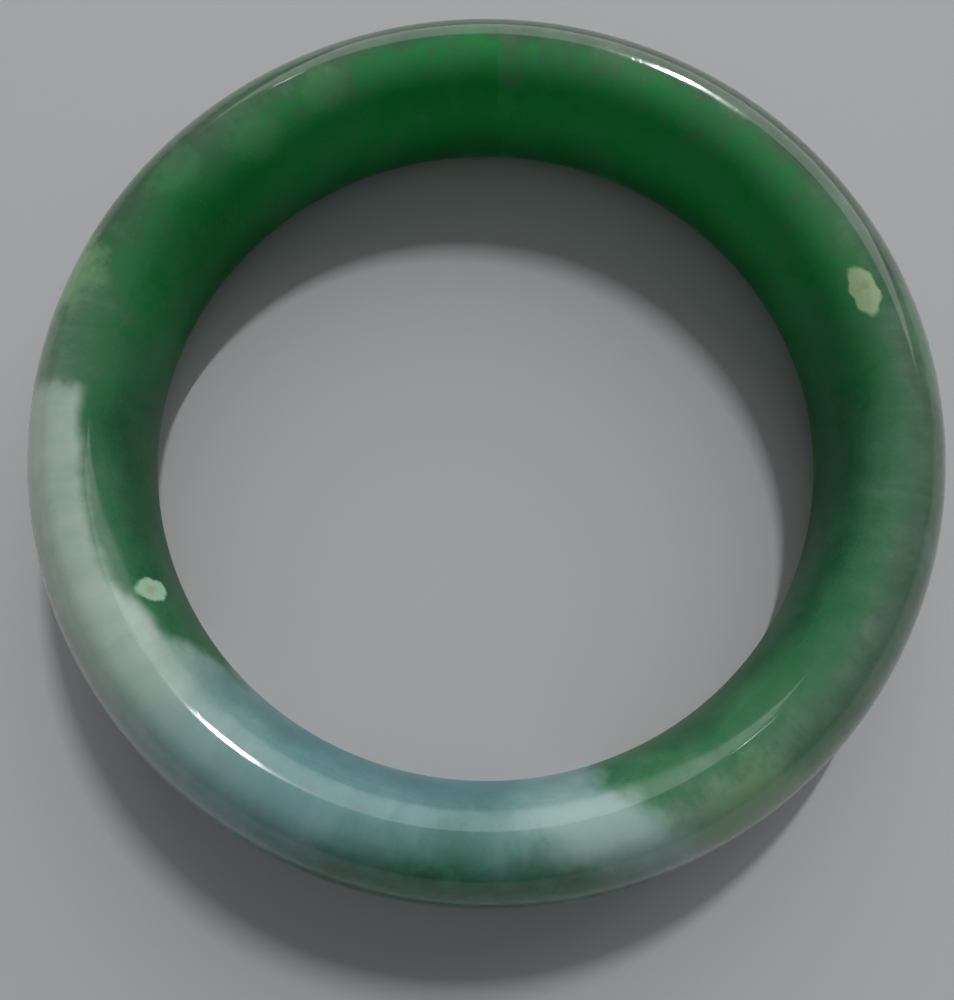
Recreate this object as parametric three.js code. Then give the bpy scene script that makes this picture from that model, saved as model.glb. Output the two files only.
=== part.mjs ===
// A one-piece bangle carved from a single block of jade-type stone and polished all over.
// It is a closed, rigid ring with no clasp, hinge or join, so it is one solid of revolution.
// Millimetres. +Z is the ring's axis, and the ring lies flat on z = 0.
import * as THREE from 'three';

// Driving dimensions.
const INNER_DIAMETER = 56;
const STONE_THICKNESS = 9.2;
const BAND_HEIGHT = 15;

// The rim, where the stone is highest, is this far out from the wrist wall's middle.
const RIM_OFFSET = 4.8;

// The narrow flat polished along each rim, which the bangle rests on when it is laid down.
const REST_LAND = 1;

// How square each side is: 2 is a plain ellipse, more is flatter, less is more pointed.
const WRIST_SIDE_FLATNESS = 2.4;
const OUTER_SIDE_FLATNESS = 1.8;

// Steps of the round surface.
const STEPS_AROUND = 96;
const STEPS_PER_QUARTER = 8;

const innerRadius = INNER_DIAMETER / 2;
const outerRadius = innerRadius + STONE_THICKNESS;
const rimRadius = innerRadius + RIM_OFFSET;
const landStart = rimRadius - REST_LAND / 2;
const landEnd = rimRadius + REST_LAND / 2;
const midHeight = BAND_HEIGHT / 2;

// One rounded quarter of the section, from the middle of a side to the edge of a rim's land.
// It is a superellipse. toRim is 1 towards the upper rim and -1 towards the lower one.
function roundedQuarter(landEdge, sideRadius, flatness, toRim) {
  const depth = sideRadius - landEdge;
  const points = [];
  for (let step = 0; step <= STEPS_PER_QUARTER; step += 1) {
    const turn = (step / STEPS_PER_QUARTER) * (Math.PI / 2);
    const across = Math.max(Math.cos(turn), 0) ** (2 / flatness);
    const up = Math.sin(turn) ** (2 / flatness);
    const onLand = step === STEPS_PER_QUARTER;
    const radius = onLand ? landEdge : landEdge + depth * across;
    points.push(new THREE.Vector2(radius, midHeight + toRim * midHeight * up));
  }
  return points;
}

// The stone's section, as radius and height: flatter towards the wrist, domed outside.
// It runs anticlockwise from the middle of the wrist wall and closes on itself.
function bandSection() {
  const wristLower = roundedQuarter(landStart, innerRadius, WRIST_SIDE_FLATNESS, -1);
  const wristUpper = roundedQuarter(landStart, innerRadius, WRIST_SIDE_FLATNESS, 1);
  const outerLower = roundedQuarter(landEnd, outerRadius, OUTER_SIDE_FLATNESS, -1);
  const outerUpper = roundedQuarter(landEnd, outerRadius, OUTER_SIDE_FLATNESS, 1);
  return [
    ...wristLower,
    ...outerLower.reverse(),
    ...outerUpper.slice(1),
    ...wristUpper.reverse(),
  ];
}

// The ring is the section turned round the axis. The lathe's axis is Y, so it is stood up on Z.
function bangleRing() {
  const ring = new THREE.LatheGeometry(bandSection(), STEPS_AROUND);
  ring.rotateX(Math.PI / 2);
  const stone = new THREE.MeshStandardMaterial({
    color: 0x2f7a46,
    roughness: 0.12,
    metalness: 0,
  });
  const mesh = new THREE.Mesh(ring, stone);
  mesh.name = 'bangle_ring';
  return mesh;
}

const bangle = new THREE.Group();
bangle.add(bangleRing());

export default bangle;
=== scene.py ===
# A one-piece stone bangle in green and pale jade, laid flat on a pale table.
import math

import bmesh
import bpy
from mathutils import Matrix, Quaternion, Vector


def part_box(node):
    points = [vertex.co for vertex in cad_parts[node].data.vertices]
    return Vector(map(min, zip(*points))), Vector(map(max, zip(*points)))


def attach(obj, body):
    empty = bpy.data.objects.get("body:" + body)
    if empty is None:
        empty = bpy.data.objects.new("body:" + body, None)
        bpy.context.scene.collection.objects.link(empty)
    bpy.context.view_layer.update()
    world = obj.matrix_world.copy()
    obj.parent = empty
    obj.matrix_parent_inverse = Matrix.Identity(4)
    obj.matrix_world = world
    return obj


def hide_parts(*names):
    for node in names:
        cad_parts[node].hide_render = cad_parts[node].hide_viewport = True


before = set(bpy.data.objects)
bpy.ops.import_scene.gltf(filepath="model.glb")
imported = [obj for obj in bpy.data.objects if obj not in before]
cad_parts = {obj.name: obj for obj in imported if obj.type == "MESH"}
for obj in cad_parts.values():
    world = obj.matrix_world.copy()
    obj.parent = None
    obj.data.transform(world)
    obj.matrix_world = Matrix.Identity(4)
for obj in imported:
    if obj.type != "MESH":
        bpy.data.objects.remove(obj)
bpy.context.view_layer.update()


# ---------------------------------------------------------------- the stone ring
# One closed ring, cored and ground out of a single block of jade, with no join and
# no metal. Its wrist side is flattened, its outer side is a rounder dome, and the
# wheel has polished one into the other all the way round.

MM = 0.001
block_low, block_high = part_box("bangle_ring")
OUTER_RADIUS = block_high.x
BAND_HEIGHT = block_high.z - block_low.z
MID_HEIGHT = (block_high.z + block_low.z) / 2
WRIST_RADIUS = 28.0 * MM
RIM_RADIUS = WRIST_RADIUS + 4.8 * MM
WRIST_FLATNESS = 2.4
DOME_FLATNESS = 1.8
OUTLINE_POINTS = 32
STEPS_AROUND = 72
POLISH_LEVELS = 2


def ground_ring():
    """The band's outline, flatter towards the wrist than outside, swung round the axis."""
    ring = bmesh.new()
    outline = bmesh.ops.create_circle(ring, segments=OUTLINE_POINTS, radius=1)["verts"]
    upright = Matrix.Rotation(math.pi / 2, 3, "X")
    bmesh.ops.rotate(ring, verts=outline, matrix=upright)
    for point in outline:
        inside = point.co.x < 0
        power = 2 / (WRIST_FLATNESS if inside else DOME_FLATNESS)
        depth = RIM_RADIUS - WRIST_RADIUS if inside else OUTER_RADIUS - RIM_RADIUS
        across = math.copysign(abs(point.co.x) ** power, point.co.x)
        up = math.copysign(abs(point.co.z) ** power, point.co.z)
        point.co = (RIM_RADIUS + depth * across, 0, MID_HEIGHT + BAND_HEIGHT / 2 * up)
    bmesh.ops.spin(
        ring,
        geom=ring.verts[:] + ring.edges[:],
        cent=(0, 0, 0),
        axis=(0, 0, 1),
        angle=math.tau,
        steps=STEPS_AROUND,
        use_merge=True,
    )
    bmesh.ops.recalc_face_normals(ring, faces=ring.faces)
    mesh = bpy.data.meshes.new("stone_ring")
    ring.to_mesh(mesh)
    ring.free()
    return mesh


stone = bpy.data.objects.new("stone_ring", ground_ring())
bpy.context.scene.collection.objects.link(stone)
polish = stone.modifiers.new("polish", "SUBSURF")
polish.levels = polish.render_levels = POLISH_LEVELS
bpy.context.view_layer.update()
smoothed = bpy.data.meshes.new_from_object(
    stone.evaluated_get(bpy.context.evaluated_depsgraph_get())
)
stone.modifiers.clear()
stone.data = smoothed

# Subdivision draws the ring in a little, so it is brought back to its size.
reach = max(Vector(v.co.xy).length for v in smoothed.vertices)
low = min(v.co.z for v in smoothed.vertices)
high = max(v.co.z for v in smoothed.vertices)
to_size = Matrix.Diagonal(
    (OUTER_RADIUS / reach, OUTER_RADIUS / reach, BAND_HEIGHT / (high - low), 1)
)
smoothed.transform(
    Matrix.Translation((0, 0, MID_HEIGHT))
    @ to_size
    @ Matrix.Translation((0, 0, -(low + high) / 2))
)
for face in smoothed.polygons:
    face.use_smooth = True

# Polished jade is a felt of fine crystals that lets light in. Most of this ring is
# emerald to milky green with cloudy cross streaks, and a third of it runs out to a
# pale bluish white. Places are millimetres from the ring's centre at mid height, and
# bearings are degrees round the ring, counterclockwise from +X.

jade = bpy.data.materials.new("jade")
jade.use_nodes = True
tree = jade.node_tree
shader = tree.nodes["Principled BSDF"]


def feed(socket, value):
    """Links a socket, or sets it when the value is a plain number or colour."""
    if isinstance(value, bpy.types.NodeSocket):
        tree.links.new(value, socket)
    else:
        socket.default_value = value


def calc(operation, first, second=0.0):
    node = tree.nodes.new("ShaderNodeMath")
    node.operation = operation
    feed(node.inputs[0], first)
    feed(node.inputs[1], second)
    return node.outputs[0]


def vector_calc(operation, first, second=(0.0, 0.0, 0.0)):
    node = tree.nodes.new("ShaderNodeVectorMath")
    node.operation = operation
    feed(node.inputs[0], first)
    feed(node.inputs[1], second)
    return node.outputs["Value" if operation == "LENGTH" else "Vector"]


def axes_of(vector):
    node = tree.nodes.new("ShaderNodeSeparateXYZ")
    feed(node.inputs[0], vector)
    return node.outputs


def vector_from(x, y, z):
    node = tree.nodes.new("ShaderNodeCombineXYZ")
    for socket, value in zip(node.inputs, (x, y, z)):
        feed(socket, value)
    return node.outputs[0]


def cloud(where, size, detail=3.0, roughness=0.5, colour=False):
    """Soft noise from 0 to 1, with lumps of about the given size."""
    node = tree.nodes.new("ShaderNodeTexNoise")
    feed(node.inputs["Vector"], where)
    node.inputs["Scale"].default_value = 1 / size
    node.inputs["Detail"].default_value = detail
    node.inputs["Roughness"].default_value = roughness
    return node.outputs["Color" if colour else "Fac"]


def fade(value, start, end):
    """0 before start and 1 after end, with a soft change between them."""
    node = tree.nodes.new("ShaderNodeMapRange")
    node.interpolation_type = "SMOOTHSTEP"
    feed(node.inputs["Value"], value)
    feed(node.inputs["From Min"], start)
    feed(node.inputs["From Max"], end)
    return node.outputs["Result"]


def blend(amount, base, top):
    node = tree.nodes.new("ShaderNodeMix")
    node.data_type = "RGBA"
    node.clamp_factor = True
    feed(node.inputs["Factor"], amount)
    feed(node.inputs["A"], base)
    feed(node.inputs["B"], top)
    return node.outputs["Result"]


def ramp(value, *stops):
    """A colour that runs through the stops, each a place from 0 to 1 and a colour."""
    node = tree.nodes.new("ShaderNodeValToRGB")
    elements = node.color_ramp.elements
    while len(elements) < len(stops):
        elements.new(0.5)
    for element, (place, colour) in zip(elements, stops):
        element.position = place
        element.color = (*colour, 1)
    feed(node.inputs[0], value)
    return node.outputs["Color"]


def round_the_ring(*stops):
    """A level that changes round the ring, from stops of bearing (90 to 450) and level."""
    node = tree.nodes.new("ShaderNodeFloatCurve")
    curve = node.mapping.curves[0]
    while len(curve.points) < len(stops):
        curve.points.new(0.5, 0.5)
    for point, (degrees, level) in zip(curve.points, stops):
        point.location = ((degrees - 90) / 360, level)
    node.mapping.update()
    feed(node.inputs["Value"], turn)
    return node.outputs[0]


def patch(where, degrees, out, up, half_size):
    """How far a place is from a patch's middle: 0 in the middle and 1 at its edge.

    half_size is the patch's reach across, along and up the band.
    """
    node = tree.nodes.new("ShaderNodeMapping")
    node.vector_type = "TEXTURE"
    feed(node.inputs["Vector"], where)
    angle = math.radians(degrees)
    node.inputs["Location"].default_value = (out * math.cos(angle), out * math.sin(angle), up)
    node.inputs["Rotation"].default_value = (0, 0, angle)
    node.inputs["Scale"].default_value = half_size
    return vector_calc("LENGTH", node.outputs[0])


object_place = tree.nodes.new("ShaderNodeTexCoord").outputs["Object"]
centred = vector_calc("SUBTRACT", object_place, (0.0, 0.0, MID_HEIGHT))
place = vector_calc("DIVIDE", centred, (MM, MM, MM))

# The zones wander a little, as the stone was folded while it grew.
wander = vector_calc("SUBTRACT", cloud(place, 5.0, 4.0, colour=True), (0.5, 0.5, 0.5))
folded = vector_calc("ADD", place, vector_calc("MULTIPLY", wander, (2.6, 2.6, 2.6)))
x, y, z = axes_of(folded)[:3]
out = vector_calc("LENGTH", vector_from(x, y, 0.0))

# The bearing is cut at 90 degrees, where a healed crack parts two shades of green.
angle = calc("ARCTAN2", x, calc("MULTIPLY", y, -1.0))
turn = calc("ADD", calc("DIVIDE", angle, math.tau), 0.5)
bearing = calc("ADD", calc("MULTIPLY", turn, 360.0), 90.0)

# Cloudy streaks run across the band, and finer clouds lie between them.
along_band = vector_calc("DIVIDE", folded, vector_from(out, out, 40.0))
streaks = cloud(along_band, 0.055, 4.0, 0.6)
fine_streaks = cloud(along_band, 0.012, 3.0, 0.6)
clouds = cloud(folded, 5.5, 4.0, 0.55)
mottle = cloud(place, 1.6, 5.0, 0.6)
grain = cloud(place, 0.22, 3.0, 0.65)

# Green: emerald on the wrist side at the back, milkier over the rim and at the front.
depth = round_the_ring(
    (90, 0.70),
    (104, 0.62),
    (120, 0.42),
    (135, 0.46),
    (152, 0.56),
    (168, 0.36),
    (185, 0.36),
    (205, 0.40),
    (228, 0.40),
    (288, 0.36),
    (300, 0.24),
    (315, 0.36),
    (340, 0.38),
    (360, 0.40),
    (380, 0.44),
    (405, 0.46),
    (425, 0.50),
    (450, 0.54),
)
depth = calc("ADD", depth, calc("MULTIPLY", fade(out, 32.6, 28.2), 0.42))
depth = calc("SUBTRACT", depth, calc("MULTIPLY", fade(out, 31.0, 34.0), 0.16))
depth = calc("ADD", depth, calc("MULTIPLY", calc("SUBTRACT", streaks, 0.5), 0.62))
depth = calc("ADD", depth, calc("MULTIPLY", calc("SUBTRACT", clouds, 0.5), 0.70))
depth = calc("ADD", depth, calc("MULTIPLY", calc("SUBTRACT", mottle, 0.5), 0.55))
depth = calc("ADD", depth, calc("MULTIPLY", calc("SUBTRACT", fine_streaks, 0.5), 0.18))
green = ramp(
    depth,
    (0.05, (0.240, 0.400, 0.265)),
    (0.30, (0.150, 0.315, 0.180)),
    (0.52, (0.080, 0.280, 0.122)),
    (0.78, (0.030, 0.370, 0.098)),
    (1.00, (0.010, 0.370, 0.064)),
)
front_green = ramp(
    depth,
    (0.05, (0.240, 0.385, 0.270)),
    (0.30, (0.135, 0.305, 0.175)),
    (0.52, (0.088, 0.278, 0.138)),
    (0.78, (0.058, 0.250, 0.112)),
    (1.00, (0.030, 0.215, 0.078)),
)
front = round_the_ring(
    (90, 0.0),
    (135, 0.15),
    (175, 0.8),
    (190, 1.0),
    (340, 1.0),
    (372, 0.6),
    (400, 0.1),
    (450, 0.0),
)
green = blend(front, green, front_green)
tone = round_the_ring(
    (90, 0.94),
    (122, 0.94),
    (150, 0.70),
    (168, 0.84),
    (182, 0.76),
    (228, 0.80),
    (330, 0.86),
    (372, 0.84),
    (395, 1.0),
    (450, 1.0),
)
green = vector_calc("MULTIPLY", green, vector_from(tone, tone, tone))

# The rim keeps a thin greyish band at the back: a painted reflection of the pale table, seen there at a
# grazing angle.
painted_rim_sheen = calc("MULTIPLY", fade(out, 31.4, 33.6), fade(calc("ABSOLUTE", z), 2.5, 6.6))
rim_sheen_by_bearing = round_the_ring(
    (90, 0.90),
    (125, 0.75),
    (155, 0.5),
    (185, 0.1),
    (305, 0.1),
    (325, 0.5),
    (360, 0.6),
    (395, 0.9),
    (450, 0.90),
)
painted_rim_sheen = calc("MULTIPLY", painted_rim_sheen, rim_sheen_by_bearing)
green = blend(painted_rim_sheen, green, (0.078, 0.112, 0.084, 1))

# Painted shade: the green of the wrist wall is darkened low down and round the front, where less light
# reaches it.
wrist_wall = fade(out, 29.9, 28.1)
wall_shade_amount = round_the_ring((90, 0.0), (160, 0.06), (182, 0.36), (228, 0.46), (345, 0.42), (385, 0.08), (450, 0.0))
low_down = calc("MULTIPLY", fade(z, 3.5, -5.0), calc("SUBTRACT", 0.62, calc("MULTIPLY", front, 0.42)))
wall_shade_amount = calc("ADD", wall_shade_amount, low_down)
shade = calc("SUBTRACT", 1.0, calc("MULTIPLY", wrist_wall, wall_shade_amount))
green = vector_calc("MULTIPLY", green, vector_from(shade, shade, shade))

# Pale stone: it starts near 178 degrees on the outer side, takes in the wrist side from
# 228 degrees, and goes back to green on a slant near 290 degrees.
pale_edge = calc("ADD", bearing, calc("MULTIPLY", calc("SUBTRACT", mottle, 0.5), 3.0))
start = fade(pale_edge, 177.0, 180.5)
reach_in = calc("SUBTRACT", 30.9, calc("MULTIPLY", fade(bearing, 200.0, 242.0), 4.2))
outside = fade(calc("SUBTRACT", out, reach_in), -0.5, 0.6)
slant = calc("ADD", 287.0, calc("MULTIPLY", calc("SUBTRACT", out, 28.0), 1.3))
finish = fade(calc("SUBTRACT", pale_edge, slant), 3.5, -2.5)
pale_amount = calc("MULTIPLY", calc("MULTIPLY", start, finish), outside)
cool = fade(calc("ADD", bearing, calc("MULTIPLY", clouds, 16.0)), 215.0, 255.0)
cool = calc("SUBTRACT", cool, calc("MULTIPLY", fade(bearing, 270.0, 286.0), 0.45))
pale_depth = calc("ADD", calc("MULTIPLY", streaks, 0.55), calc("MULTIPLY", clouds, 0.45))
warm_pale = ramp(
    pale_depth,
    (0.25, (0.370, 0.490, 0.400)),
    (0.50, (0.480, 0.580, 0.495)),
    (0.75, (0.580, 0.655, 0.580)),
)
cool_pale = ramp(
    pale_depth,
    (0.25, (0.165, 0.310, 0.330)),
    (0.50, (0.210, 0.360, 0.385)),
    (0.75, (0.275, 0.425, 0.450)),
)
pale = blend(cool, warm_pale, cool_pale)
brightest = calc("MULTIPLY", fade(bearing, 272.0, 282.0), fade(out, 34.5, 31.5))
pale = blend(calc("MULTIPLY", brightest, 0.45), pale, (0.470, 0.640, 0.620, 1))

# Painted shade: towards the wrist the pale part is darkened, red most, so it also turns bluer.
light_kept = calc("SUBTRACT", 1.0, calc("MULTIPLY", fade(out, 30.8, 28.0), 0.50))
red_kept = calc("POWER", light_kept, 1.2)
green_kept = calc("POWER", light_kept, 0.92)
blue_kept = calc("POWER", light_kept, 0.85)
pale = vector_calc("MULTIPLY", pale, vector_from(red_kept, green_kept, blue_kept))

# At the front a bowl of dark green fills the outer wall and fades out over the rim: partly the stone's own
# green, partly painted shade where that wall faces away from the light.
shaded_bowl = patch(folded, 268.0, 38.5, 0.6, (8.2, 20.0, 9.4))
shaded_bowl = calc("ADD", shaded_bowl, calc("MULTIPLY", calc("SUBTRACT", streaks, 0.5), 0.22))
shaded_bowl = calc("ADD", shaded_bowl, calc("MULTIPLY", calc("SUBTRACT", clouds, 0.5), 0.45))
bowl_green_and_shade = ramp(
    calc("ADD", calc("MULTIPLY", mottle, 0.6), calc("MULTIPLY", streaks, 0.4)),
    (0.34, (0.070, 0.260, 0.150)),
    (0.50, (0.022, 0.175, 0.082)),
    (0.66, (0.010, 0.110, 0.044)),
)
pale = blend(calc("MULTIPLY", fade(shaded_bowl, 1.30, 0.74), 0.95), pale, bowl_green_and_shade)
stone_colour = blend(pale_amount, green, pale)

# Milky clouds in the green, and two pale flecks with a firm edge.
ragged = vector_calc("SUBTRACT", cloud(place, 1.4, 3.0, colour=True), (0.5, 0.5, 0.5))
ragged_place = vector_calc("ADD", place, vector_calc("MULTIPLY", ragged, (1.1, 1.1, 1.1)))
milk_spots = (
    (163.0, 34.6, 6.2, (3.2, 3.6, 3.0), 0.90, (0.240, 0.410, 0.220, 1)),
    (304.0, 34.6, 5.4, (3.6, 5.0, 3.8), 0.70, (0.240, 0.400, 0.220, 1)),
    (12.0, 34.8, 5.6, (2.6, 6.0, 3.4), 0.35, (0.190, 0.360, 0.220, 1)),
    (118.0, 31.2, 6.6, (1.8, 2.6, 2.0), 0.45, (0.130, 0.400, 0.175, 1)),
    (131.0, 30.3, 5.9, (1.6, 3.2, 2.2), 0.45, (0.130, 0.400, 0.175, 1)),
    (143.0, 32.2, 6.9, (1.8, 2.8, 1.6), 0.35, (0.130, 0.400, 0.175, 1)),
    (70.0, 31.6, 6.9, (1.4, 4.2, 1.6), 0.30, (0.160, 0.380, 0.200, 1)),
)
for degrees, across, up, half_size, strength, colour in milk_spots:
    spot = patch(folded, degrees, across, up, half_size)
    spot = calc("ADD", spot, calc("MULTIPLY", calc("SUBTRACT", mottle, 0.5), 1.1))
    amount = calc("MULTIPLY", fade(spot, 1.15, 0.50), strength)
    stone_colour = blend(amount, stone_colour, colour)
flecks = (
    (19.2, 31.2, 7.1, (0.95, 2.3, 1.2), (0.480, 0.600, 0.370, 1)),
    (210.6, 28.8, 4.9, (1.4, 1.05, 1.8), (0.380, 0.580, 0.430, 1)),
)
for degrees, across, up, half_size, colour in flecks:
    spot = patch(ragged_place, degrees, across, up, half_size)
    stone_colour = blend(fade(spot, 1.10, 0.84), stone_colour, colour)
    core = calc("MULTIPLY", fade(spot, 0.60, 0.20), fade(mottle, 0.44, 0.56))
    stone_colour = blend(calc("MULTIPLY", core, 0.45), stone_colour, (0.330, 0.310, 0.180, 1))

# Paler crystals show here and there in the grain.
crystals = calc("MULTIPLY", fade(grain, 0.58, 0.85), 0.35)
stone_colour = blend(crystals, stone_colour, (0.30, 0.45, 0.32, 1))
feed(shader.inputs["Base Color"], stone_colour)

shader.inputs["IOR"].default_value = 1.6
shader.inputs["Subsurface Weight"].default_value = 1.0
shader.inputs["Subsurface Radius"].default_value = (0.25, 1.0, 0.40)
shader.inputs["Subsurface Scale"].default_value = 5.0 * MM

# A glassy polish, dulled where the wrist rubs. The rims shine more than the sides.
smudges = cloud(place, 8.0, 5.0, 0.6)
smear = fade(smudges, 0.45, 0.75)
rubbed = fade(out, 30.6, 28.9)
gloss = calc("ADD", 0.06, calc("MULTIPLY", smear, 0.04))
gloss = calc("ADD", gloss, calc("MULTIPLY", rubbed, 0.30))
hair = cloud(vector_calc("MULTIPLY", place, (1.0, 0.3, 0.8)), 3.0, 2.0)
hairlines = fade(calc("ABSOLUTE", calc("SUBTRACT", hair, 0.5)), 0.007, 0.001)
hairlines = calc("MULTIPLY", hairlines, fade(clouds, 0.45, 0.60))
gloss = calc("ADD", gloss, calc("MULTIPLY", hairlines, 0.05))
feed(shader.inputs["Roughness"], gloss)
side = fade(calc("ABSOLUTE", axes_of(place)[2]), 6.6, 5.0)
shine = calc("SUBTRACT", 0.46, calc("MULTIPLY", side, 0.16))
shine = calc("MULTIPLY", shine, calc("SUBTRACT", 1.0, calc("MULTIPLY", rubbed, 0.86)))
feed(shader.inputs["Specular IOR Level"], shine)

# Shallow waves left by the wheel, and the smallest pits between crystals.
waves = cloud(place, 6.0, 2.0, 0.4)
pits = fade(cloud(place, 0.35, 2.0, 0.5), 0.60, 0.72)
height = calc("SUBTRACT", calc("MULTIPLY", waves, 0.005 * MM), calc("MULTIPLY", pits, 0.0004 * MM))
height = calc("SUBTRACT", height, calc("MULTIPLY", hairlines, 0.0008 * MM))
bump = tree.nodes.new("ShaderNodeBump")
bump.inputs["Distance"].default_value = 1.0
feed(bump.inputs["Height"], height)
feed(shader.inputs["Normal"], bump.outputs["Normal"])

smoothed.materials.clear()
smoothed.materials.append(jade)
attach(stone, "root")
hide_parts("bangle_ring")


# ---------------------------------------------------------------- table and lights
# A plain pale table top, far wider than the ring.

table = bmesh.new()
bmesh.ops.create_circle(table, cap_ends=True, segments=64, radius=2.5)
table_mesh = bpy.data.meshes.new("table")
table.to_mesh(table_mesh)
table.free()
table_top = bpy.data.objects.new("table", table_mesh)
bpy.context.scene.collection.objects.link(table_top)
paint = bpy.data.materials.new("table_paint")
paint.use_nodes = True
paint_shader = paint.node_tree.nodes["Principled BSDF"]
paint_shader.inputs["Base Color"].default_value = (0.58, 0.58, 0.59, 1)
paint_shader.inputs["Roughness"].default_value = 0.85
paint_shader.inputs["Specular IOR Level"].default_value = 0.2
table_mesh.materials.append(paint)


def softbox(name, towards, distance, width, depth, watts, roll=0.0):
    """A plain rectangular softbox that faces the middle of the ring.

    roll turns it in degrees about the way it faces.
    """
    lamp = bpy.data.lights.new(name, "AREA")
    lamp.shape = "RECTANGLE"
    lamp.size = width
    lamp.size_y = depth
    lamp.energy = watts
    lamp_object = bpy.data.objects.new(name, lamp)
    direction = Vector(towards).normalized()
    lamp_object.location = direction * distance + Vector((0, 0, MID_HEIGHT))
    turned = direction.to_track_quat("Z", "Y") @ Quaternion((0, 0, 1), math.radians(roll))
    lamp_object.rotation_euler = turned.to_euler()
    lamp_object.visible_camera = False
    bpy.context.scene.collection.objects.link(lamp_object)


softbox("key", (0.157, 0.565, 0.810), 2.5, 0.03, 0.34, 19.0, roll=-15.0)
softbox("strip", (0.157, 0.565, 0.810), 2.45, 2.4, 0.10, 1.2)
softbox("window", (0.24, 0.85, 0.47), 2.5, 3.5, 2.3, 34.0)
softbox("glint", (-0.182, 0.559, 0.809), 2.5, 0.06, 0.06, 0.22)

world = bpy.data.worlds.new("room")
bpy.context.scene.world = world
world.use_nodes = True
room = world.node_tree
backdrop = room.nodes["Background"]
backdrop.inputs["Color"].default_value = (0.93, 0.97, 1.0, 1)
ceiling = room.nodes.new("ShaderNodeSeparateXYZ")
room.links.new(room.nodes.new("ShaderNodeTexCoord").outputs["Generated"], ceiling.inputs[0])
overhead = room.nodes.new("ShaderNodeMapRange")
overhead.inputs["From Min"].default_value = 0.1
overhead.inputs["To Min"].default_value = 0.12
overhead.inputs["To Max"].default_value = 0.21
room.links.new(ceiling.outputs["Z"], overhead.inputs["Value"])
level = room.nodes.new("ShaderNodeMix")
level.inputs["B"].default_value = 0.42
ray = room.nodes.new("ShaderNodeLightPath")
room.links.new(ray.outputs["Is Camera Ray"], level.inputs["Factor"])
room.links.new(overhead.outputs["Result"], level.inputs["A"])
room.links.new(level.outputs["Result"], backdrop.inputs["Strength"])
bpy.context.scene.view_settings.view_transform = "Standard"


# ---------------------------------------------------------------- camera
# Close above the near side of the ring, looking down into it.

CAMERA_DISTANCE = 85 * MM
CAMERA_TILT = math.radians(17.17)
AIM = Vector((-0.58 * MM, -5.70 * MM, 7.0 * MM))

camera_data = bpy.data.cameras.new("camera")
camera_data.lens = 36.4
camera_data.sensor_width = 36
camera_data.clip_start = 0.01
camera = bpy.data.objects.new("camera", camera_data)
back = Vector((0, -math.sin(CAMERA_TILT), math.cos(CAMERA_TILT)))
camera.location = back * CAMERA_DISTANCE + Vector((0, 0, AIM.z))
camera.rotation_euler = (camera.location - AIM).to_track_quat("Z", "Y").to_euler()
bpy.context.scene.collection.objects.link(camera)
bpy.context.scene.camera = camera
